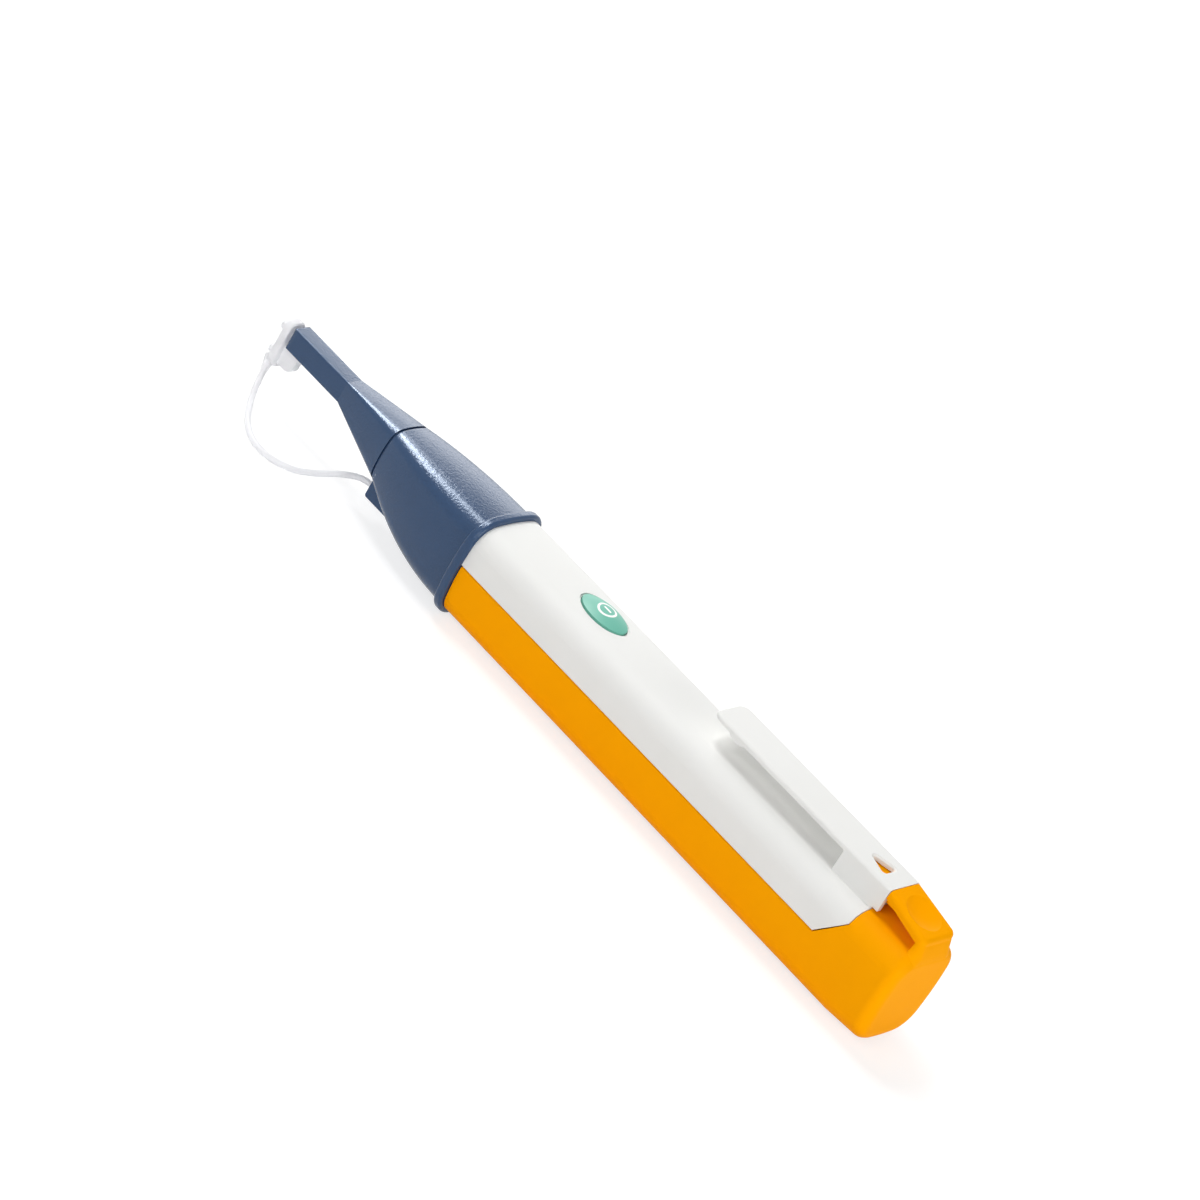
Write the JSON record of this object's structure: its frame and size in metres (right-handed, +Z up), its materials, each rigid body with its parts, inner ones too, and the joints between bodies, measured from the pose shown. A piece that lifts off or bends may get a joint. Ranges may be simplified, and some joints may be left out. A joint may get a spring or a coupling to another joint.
{
  "type": "live fiber detector",
  "caption": "Pen-shaped live fiber detector with a blade probe under a tethered clear cap, a nose cone, an oval power button, a pocket clip and a sliding battery cover with a thumb latch.",
  "frame": {"origin": "on the surface that the pen lies on, under the middle of the pen without its cap and tether", "axes": "+X from the probe to the tail, +Z up through the button and the clip"},
  "size_m": [0.176, 0.0228, 0.0264],
  "materials": {
    "white_shell": "satin moulded",
    "yellow_cover": "satin moulded",
    "blue_nose": "fine moulded grain",
    "clear_guide": "clear polished",
    "bright_metal": "tin plated",
    "circuit_board": "solder resist",
    "black_package": "moulded epoxy",
    "tan_ceramic": "fired ceramic",
    "teal_button": "soft satin",
    "grey_frame": "moulded",
    "cell_sleeve": "plain sleeve",
    "clear_cap": "clear soft moulded"
  },
  "bodies": {
    "pen": {"upper_shell": "white_shell", "nose_cone": "blue_nose", "probe_tip": "blue_nose", "light_guide": "clear_guide", "photodiode": "bright_metal", "main_board": "circuit_board", "microcontroller": "black_package", "amplifier_chip": "black_package", "chip_resistors": "black_package", "chip_capacitors": "tan_ceramic", "indicator_led": "clear_guide", "buzzer": "black_package", "power_switch": "black_package", "battery_cradle": "grey_frame", "battery_spring": "bright_metal", "battery_strip": "bright_metal", "cell_front": "cell_sleeve", "cell_rear": "cell_sleeve", "chassis_screws": "bright_metal", "tether": "clear_cap"},
    "button": {"power_button": "teal_button", "switch_plunger": "black_package"},
    "cover": {"lower_shell": "yellow_cover"},
    "cap": {"tip_cap": "clear_cap"}
  },
  "joints": [
    {"name": "button_press", "type": "slide", "parent": "pen", "child": "button", "axis": [0, 0, -1], "range_m": [0, 0.0004], "stiffness_N_per_m": 2500},
    {"name": "cover_slide", "type": "slide", "parent": "pen", "child": "cover", "axis": [1, 0, 0], "range_m": [0, 0.105]},
    {"name": "cap_pull", "type": "slide", "parent": "pen", "child": "cap", "axis": [-1, 0, 0], "range_m": [0, 0.008]}
  ]
}
